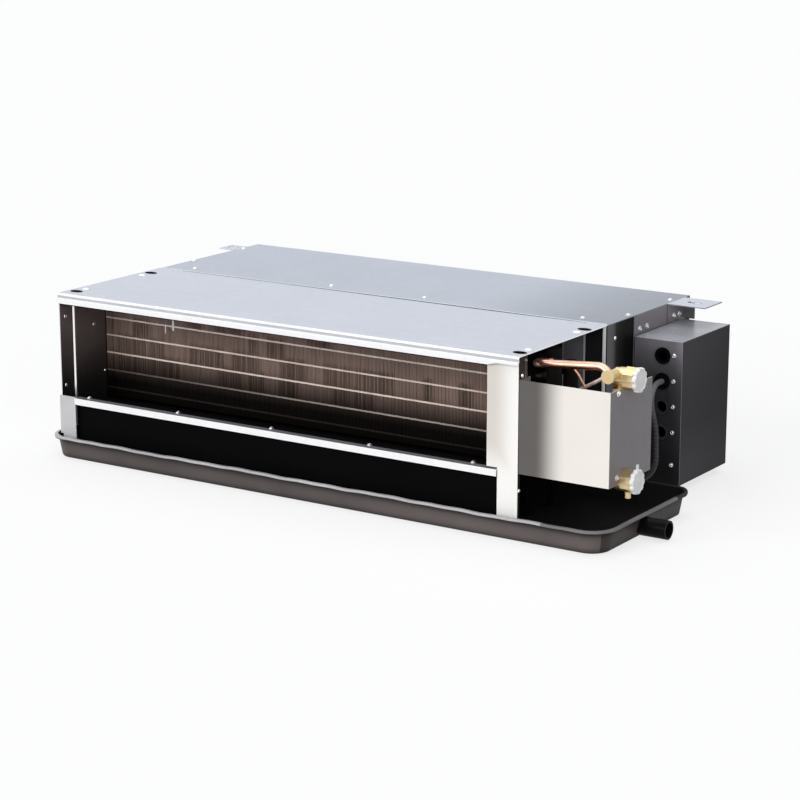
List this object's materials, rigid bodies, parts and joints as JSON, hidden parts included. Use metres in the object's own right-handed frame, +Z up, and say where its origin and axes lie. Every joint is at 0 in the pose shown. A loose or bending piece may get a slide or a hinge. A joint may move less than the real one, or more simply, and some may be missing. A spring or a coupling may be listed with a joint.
{
  "type": "fan coil unit",
  "caption": "Ceiling-concealed fan coil unit with a finned coil behind the front outlet, a drain pan, brass water unions, a side control box and centrifugal fans inside.",
  "frame": {"origin": "centre of the footprint at the underside of the drain pan", "axes": "+Z up, +X towards the water connections, -Y towards the air outlet"},
  "size_m": [0.918, 0.475, 0.2322],
  "materials": {
    "galvanised_sheet": "satin zinc coating",
    "dark_sheet": "matt charcoal paint",
    "pan_coating": "satin dark coating",
    "dark_plastic": "matt",
    "filter_net": "woven",
    "fin_foil": "thin foil",
    "copper": "drawn copper tube",
    "brass": "turned brass",
    "white_plastic": "moulded",
    "wheel_sheet": "pressed sheet",
    "bright_steel": "zinc plated",
    "motor_paint": "satin",
    "black_rubber": "matt"
  },
  "bodies": {
    "casing": {"top_panel_front": "galvanised_sheet", "top_panel_rear": "galvanised_sheet", "side_panel_left": "galvanised_sheet", "post_left": "galvanised_sheet", "post_right": "galvanised_sheet", "discharge_strip": "galvanised_sheet", "plenum_left": "galvanised_sheet", "plenum_bottom": "galvanised_sheet", "return_frame": "galvanised_sheet", "filter_rails": "galvanised_sheet", "hanger_left": "galvanised_sheet", "hanger_right": "galvanised_sheet", "end_plate_left": "galvanised_sheet", "piping_bracket": "galvanised_sheet", "scroll_left": "galvanised_sheet", "scroll_right": "galvanised_sheet", "motor_cradle": "galvanised_sheet", "box_plate": "galvanised_sheet", "liner_left": "dark_sheet", "front_lower_panel": "dark_sheet", "fan_deck": "dark_sheet", "plenum_right": "dark_sheet", "end_plate_right": "dark_sheet", "box_base": "dark_sheet", "box_cover": "dark_sheet", "drain_pan": "pan_coating", "drain_spigot": "dark_plastic", "coil_fins": "fin_foil", "coil_tubes": "copper", "return_bends": "copper", "header_supply": "copper", "header_return": "copper", "pipe_upper": "copper", "pipe_lower": "copper", "bleed_tube": "copper", "union_upper": "brass", "union_lower": "brass", "vent_body": "brass", "drain_plug": "brass", "terminal_block": "white_plastic", "capacitor": "white_plastic", "motor_bearings": "bright_steel", "top_screws": "bright_steel", "front_screws": "bright_steel", "bracket_bolts": "bright_steel", "box_screws": "bright_steel", "hanger_screws": "bright_steel", "motor_shell": "motor_paint", "motor_mounts": "black_rubber", "grommets": "black_rubber", "motor_cable": "black_rubber"},
    "rotor": {"fan_shaft": "bright_steel", "wheel_left": "wheel_sheet", "wheel_right": "wheel_sheet"},
    "filter": {"filter_frame": "dark_plastic", "filter_mesh": "filter_net"},
    "vent": {"vent_knob": "brass"},
    "upper_cap": {"cap_upper": "white_plastic"},
    "lower_cap": {"cap_lower": "white_plastic"}
  },
  "joints": [
    {"name": "fan_spin", "type": "hinge", "parent": "casing", "child": "rotor", "pos_m": [-0.064, 0.1095, 0.114], "axis": [1, 0, 0], "continuous": true},
    {"name": "filter_slide", "type": "slide", "parent": "casing", "child": "filter", "axis": [-1, 0, 0], "range_m": [0, 0.74]},
    {"name": "vent_turn", "type": "hinge", "parent": "casing", "child": "vent", "pos_m": [0.4195, -0.2145, 0.2195], "axis": [0, -1, 0], "range_deg": [0, 270]},
    {"name": "upper_cap_pull", "type": "slide", "parent": "casing", "child": "upper_cap", "axis": [1, 0, 0], "range_m": [0, 0.03]},
    {"name": "lower_cap_pull", "type": "slide", "parent": "casing", "child": "lower_cap", "axis": [1, 0, 0], "range_m": [0, 0.03]}
  ]
}
